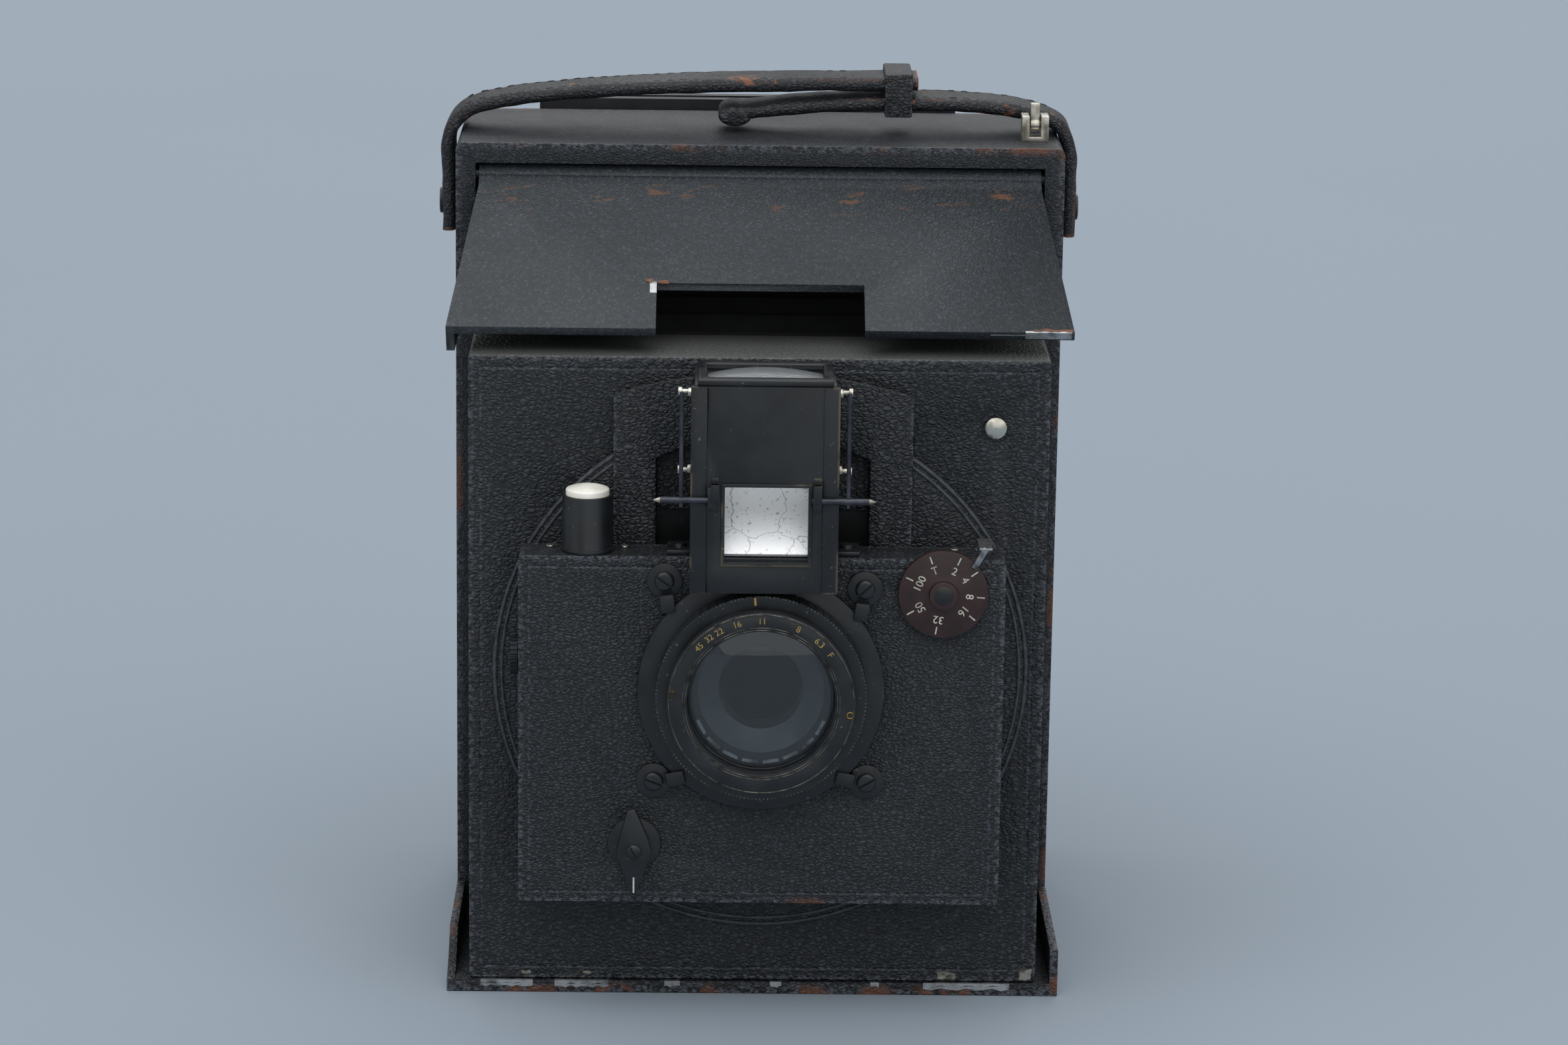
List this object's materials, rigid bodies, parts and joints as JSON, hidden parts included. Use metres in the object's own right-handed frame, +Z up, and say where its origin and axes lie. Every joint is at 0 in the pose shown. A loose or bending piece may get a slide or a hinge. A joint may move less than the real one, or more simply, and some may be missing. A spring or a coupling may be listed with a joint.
{
  "type": "plate camera",
  "caption": "Leather-covered box-form plate camera with a pulled-out front box, hinged flaps, between-lens shutter, reflecting finder and carrying strap.",
  "frame": {"origin": "mouth of the tripod bush in the underside, below the middle of the case", "axes": "+Z up, lens looks along -Y, +X is the viewer's right"},
  "size_m": [0.1638, 0.1498, 0.2218],
  "materials": {
    "case_leather": "pebbled blue-black leather, scuffed orange-brown at the edges",
    "flap_leather": "smoother worn black leather",
    "strap_leather": "smooth rolled black leather",
    "bellows_leather": "thin matt black leather",
    "black_lacquer": "satin black lacquer on brass, worn at the edges",
    "sheath_black": "matt black sheet metal",
    "holder_wood": "ebonised hardwood",
    "nickel": "tarnished nickel plate",
    "brass": "dull brass",
    "dial_brown": "maroon-brown lacquer with filled engraving",
    "blade_steel": "blackened steel",
    "cap_white": "glossy off-white",
    "lens_glass": "polished lens glass",
    "mirror": "crazed silvering"
  },
  "bodies": {
    "case": {"case_shell": "case_leather", "back_frame": "black_lacquer", "plate_holder": "holder_wood", "bellows": "bellows_leather", "base_tripod_bush": "brass", "side_tripod_bush": "brass", "case_screws": "nickel", "base_flap": "flap_leather", "flap_hinge_pin": "black_lacquer", "strap_studs": "black_lacquer", "long_strap": "strap_leather", "short_strap": "strap_leather", "strap_keeper": "strap_leather", "catch_post": "nickel"},
    "front_sheath": {"front_sheath": "sheath_black"},
    "rear_sheath": {"rear_sheath": "sheath_black"},
    "top_flap": {"top_flap": "flap_leather"},
    "catch_lever": {"catch_lever": "nickel"},
    "front": {"front_box": "case_leather", "slide_rails": "nickel"},
    "latch_button": {"latch_button": "nickel"},
    "revolving_front": {"revolving_disc": "case_leather", "raised_strip": "case_leather", "disc_keeper_ring": "black_lacquer"},
    "rising_front": {"rise_plate": "black_lacquer", "shutter_box": "case_leather", "shutter_back": "black_lacquer", "shutter_screws": "nickel", "setting_washer": "black_lacquer", "pump_cylinder": "black_lacquer", "dial_pointer": "nickel", "lens_flange": "black_lacquer", "lens_clamps": "black_lacquer", "lens_barrel": "black_lacquer", "iris_blades": "blade_steel", "front_cell": "black_lacquer", "front_glass": "lens_glass", "rear_cell": "black_lacquer", "rear_glass": "lens_glass", "finder_body": "black_lacquer", "finder_panel": "black_lacquer", "finder_mirror": "mirror", "finder_top_frame": "black_lacquer", "finder_lens": "lens_glass", "finder_brackets": "black_lacquer", "finder_pivot_screws": "nickel"},
    "speed_dial": {"speed_dial": "dial_brown"},
    "setting_key": {"setting_shaft": "brass", "setting_knob": "black_lacquer", "shutter_blade": "blade_steel"},
    "side_wheel": {"side_wheel": "brass"},
    "pump_cap": {"pump_cap": "cap_white"},
    "iris_ring": {"iris_ring": "black_lacquer"},
    "finder_arms": {"finder_arms": "nickel"}
  },
  "joints": [
    {"name": "front_slide", "type": "slide", "parent": "case", "child": "front", "axis": [0, 1, 0], "range_m": [0, 0.04], "deforming": ["bellows"]},
    {"name": "front_revolve", "type": "hinge", "parent": "front", "child": "revolving_front", "pos_m": [0.001, -0.0775, 0.084], "axis": [0, 1, 0], "range_deg": [-90, 90]},
    {"name": "front_rise", "type": "slide", "parent": "revolving_front", "child": "rising_front", "axis": [0, 0, 1], "range_m": [-0.01, 0.01]},
    {"name": "top_flap_hinge", "type": "hinge", "parent": "case", "child": "top_flap", "pos_m": [0, -0.024, 0.1978], "axis": [-1, 0, 0], "range_deg": [0, 45]},
    {"name": "front_sheath_draw", "type": "slide", "parent": "case", "child": "front_sheath", "axis": [0, 0, 1], "range_m": [0, 0.16]},
    {"name": "rear_sheath_draw", "type": "slide", "parent": "case", "child": "rear_sheath", "axis": [0, 0, 1], "range_m": [0, 0.16]},
    {"name": "catch_swing", "type": "hinge", "parent": "case", "child": "catch_lever", "pos_m": [0.0695, -0.013, 0.21], "axis": [1, 0, 0], "range_deg": [0, 90]},
    {"name": "latch_press", "type": "slide", "parent": "front", "child": "latch_button", "axis": [0, 1, 0], "range_m": [0, 0.001], "stiffness_N_per_m": 300},
    {"name": "speed_dial_turn", "type": "hinge", "parent": "rising_front", "child": "speed_dial", "pos_m": [0.0448, -0.0943, 0.1087], "axis": [0, -1, 0], "range_deg": [-75, 240]},
    {"name": "setting_key_turn", "type": "hinge", "parent": "rising_front", "child": "setting_key", "pos_m": [-0.0296, -0.0943, 0.043], "axis": [0, -1, 0], "range_deg": [-45, 45]},
    {"name": "side_wheel_turn", "type": "hinge", "parent": "rising_front", "child": "side_wheel", "pos_m": [-0.058, -0.08755, 0.09], "axis": [-1, 0, 0], "continuous": true},
    {"name": "pump_press", "type": "slide", "parent": "rising_front", "child": "pump_cap", "axis": [0, 0, -1], "range_m": [0, 0.0015], "stiffness_N_per_m": 300},
    {"name": "iris_turn", "type": "hinge", "parent": "rising_front", "child": "iris_ring", "pos_m": [0.001, -0.1, 0.084], "axis": [0, -1, 0], "range_deg": [-43, 46]},
    {"name": "finder_arms_fold", "type": "hinge", "parent": "rising_front", "child": "finder_arms", "pos_m": [0.0012, -0.1047, 0.1336], "axis": [1, 0, 0], "range_deg": [0, 100]}
  ]
}
